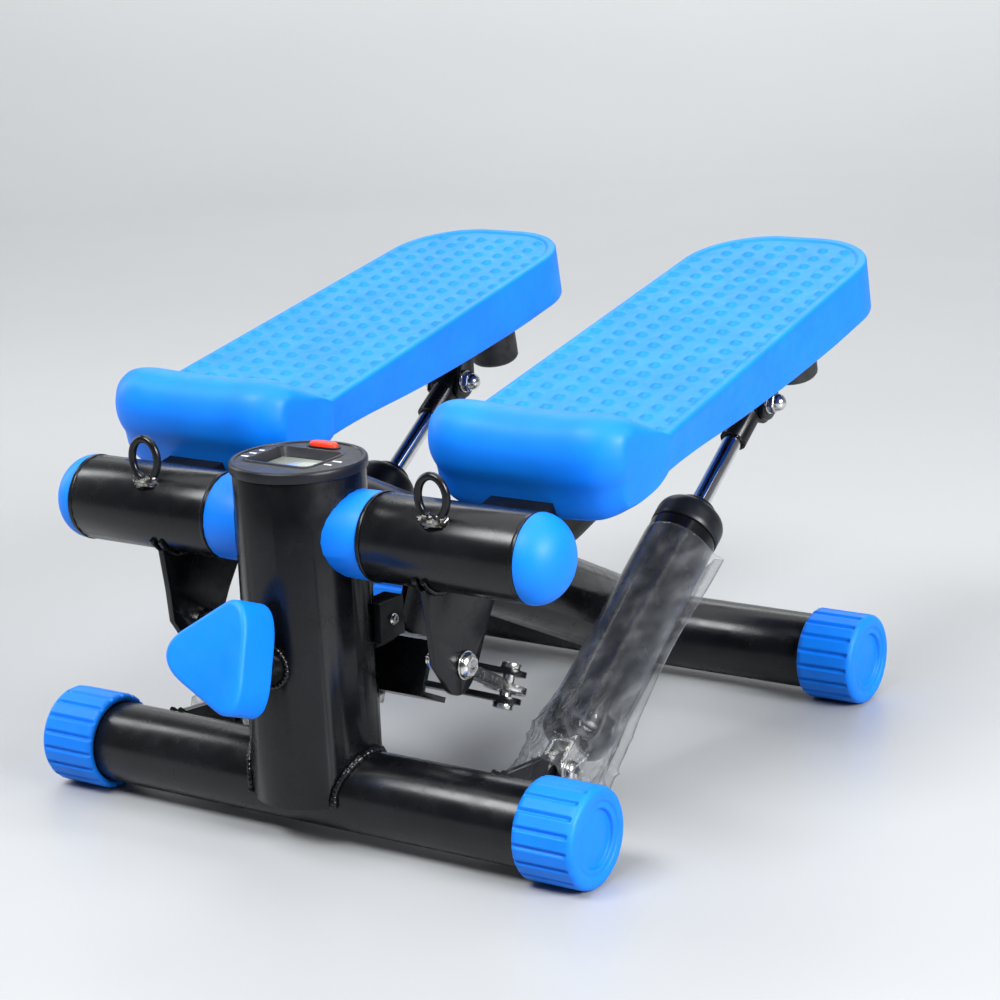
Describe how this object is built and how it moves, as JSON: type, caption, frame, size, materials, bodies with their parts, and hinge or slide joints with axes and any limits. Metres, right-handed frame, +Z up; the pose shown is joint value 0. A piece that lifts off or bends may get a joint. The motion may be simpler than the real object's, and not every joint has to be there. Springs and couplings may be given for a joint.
{
  "type": "stepper",
  "caption": "Compact twist stepper with two hinged foot pedals on hydraulic cylinders, tied by a rocker so that they move in turn, with a round console on the post",
  "frame": {"origin": "bottom centre of the whole stepper's box, on the floor", "axes": "+X to the right pedal, +Y to the rear where the pedals' free ends are, +Z up"},
  "size_m": [0.39, 0.5118, 0.299],
  "materials": {
    "black_paint": "semi-gloss black powder paint",
    "blue_plastic": "satin moulded blue plastic",
    "black_plastic": "fine-grained black plastic",
    "red_plastic": "glossy red button plastic",
    "lens": "clear window over a grey-green display",
    "circuit": "green solder-masked board",
    "zinc": "bright zinc-plated steel",
    "chrome": "polished hard chrome",
    "rubber": "matt black rubber",
    "film": "clear thin protective film"
  },
  "bodies": {
    "base": {"front_foot_tube": "black_paint", "foot_cap_front_right": "blue_plastic", "foot_cap_front_left": "blue_plastic", "rear_foot_tube": "black_paint", "foot_cap_rear_right": "blue_plastic", "foot_cap_rear_left": "blue_plastic", "post": "black_paint", "main_beam": "black_paint", "console_housing": "black_plastic", "console_lens": "lens", "counter_board": "circuit", "counter_sensor": "black_plastic", "knob_boss": "black_paint", "pivot_axle": "zinc", "axle_spacer_right": "blue_plastic", "axle_spacer_left": "blue_plastic", "rocker_bracket": "black_paint", "rocker_pivot_bolt": "zinc", "cylinder_gusset_right": "black_paint", "cylinder_base_bolt_right": "zinc", "cylinder_gusset_left": "black_paint", "cylinder_base_bolt_left": "zinc"},
    "right_arm": {"pedal_sleeve_right": "black_paint", "sleeve_dome_right": "blue_plastic", "cord_eyelet_right": "black_paint", "rocker_lever_right": "black_paint", "lever_bolt_right": "zinc", "foot_pedal_right": "blue_plastic", "pedal_arm_right": "black_paint", "cylinder_pin_right": "zinc", "rubber_bumper_right": "rubber"},
    "right_link": {"rocker_link_right": "zinc"},
    "right_barrel": {"cylinder_barrel_right": "black_paint", "cylinder_head_right": "black_plastic", "cylinder_clevis_right": "zinc", "film_wrap_right": "film"},
    "right_rod": {"piston_rod_right": "chrome", "rod_end_right": "black_paint"},
    "left_arm": {"pedal_sleeve_left": "black_paint", "sleeve_dome_left": "blue_plastic", "cord_eyelet_left": "black_paint", "rocker_lever_left": "black_paint", "lever_bolt_left": "zinc", "foot_pedal_left": "blue_plastic", "pedal_arm_left": "black_paint", "cylinder_pin_left": "zinc", "rubber_bumper_left": "rubber"},
    "left_link": {"rocker_link_left": "zinc"},
    "left_barrel": {"cylinder_barrel_left": "black_paint", "cylinder_head_left": "black_plastic", "cylinder_clevis_left": "zinc", "film_wrap_left": "film"},
    "left_rod": {"piston_rod_left": "chrome", "rod_end_left": "black_paint"},
    "rocker": {"rocker_arm": "black_paint", "rocker_pin_right": "zinc", "rocker_pin_left": "zinc"},
    "knob": {"tension_knob": "blue_plastic", "knob_screw": "zinc"},
    "button": {"console_button": "red_plastic"}
  },
  "joints": [
    {"name": "right_arm_hinge", "type": "hinge", "parent": "base", "child": "right_arm", "pos_m": [0, -0.15886, 0.188], "axis": [1, 0, 0], "range_deg": [-16, 16]},
    {"name": "left_arm_hinge", "type": "hinge", "parent": "base", "child": "left_arm", "pos_m": [0, -0.15886, 0.188], "axis": [1, 0, 0], "range_deg": [-16, 16]},
    {"name": "rocker_hinge", "type": "hinge", "parent": "base", "child": "rocker", "pos_m": [0, -0.09686, 0.086], "axis": [0, 0.4368, 0.8995], "range_deg": [-11.5, 11.5]},
    {"name": "right_link_hinge", "type": "hinge", "parent": "right_arm", "child": "right_link", "pos_m": [0.0875, -0.14156, 0.11168], "axis": [1, 0, 0], "range_deg": [-27, 27]},
    {"name": "right_barrel_hinge", "type": "hinge", "parent": "base", "child": "right_barrel", "pos_m": [0.12, -0.08286, 0.032], "axis": [1, 0, 0], "range_deg": [-15, 15]},
    {"name": "right_rod_slide", "type": "slide", "parent": "right_barrel", "child": "right_rod", "axis": [0, 0.8315, 0.5555], "range_m": [-0.0475, 0.0475]},
    {"name": "left_link_hinge", "type": "hinge", "parent": "left_arm", "child": "left_link", "pos_m": [-0.0875, -0.14316, 0.11133], "axis": [1, 0, 0], "range_deg": [-27, 27]},
    {"name": "left_barrel_hinge", "type": "hinge", "parent": "base", "child": "left_barrel", "pos_m": [-0.12, -0.08286, 0.032], "axis": [1, 0, 0], "range_deg": [-15, 15]},
    {"name": "left_rod_slide", "type": "slide", "parent": "left_barrel", "child": "left_rod", "axis": [0, 0.8422, 0.5392], "range_m": [-0.0475, 0.0475]},
    {"name": "knob_turn", "type": "hinge", "parent": "base", "child": "knob", "pos_m": [0, -0.16086, 0.09848], "axis": [0, -0.9291, 0.3697], "range_deg": [-360, 360]},
    {"name": "button_press", "type": "slide", "parent": "base", "child": "button", "axis": [0, 0, 1], "range_m": [-0.0015, 0], "stiffness_N_per_m": 100}
  ],
  "couplings": [
    {"joint": "left_arm_hinge", "follows": "right_arm_hinge", "ratio": -1},
    {"joint": "rocker_hinge", "follows": "right_arm_hinge", "ratio": 0.705},
    {"joint": "right_link_hinge", "follows": "right_arm_hinge", "ratio": -1.67},
    {"joint": "left_link_hinge", "follows": "right_arm_hinge", "ratio": 1.67},
    {"joint": "right_barrel_hinge", "follows": "right_arm_hinge", "ratio": 0.925},
    {"joint": "left_barrel_hinge", "follows": "right_arm_hinge", "ratio": -0.925},
    {"joint": "right_rod_slide", "follows": "right_arm_hinge", "m_per_rad": 0.168},
    {"joint": "left_rod_slide", "follows": "right_arm_hinge", "m_per_rad": -0.168}
  ]
}
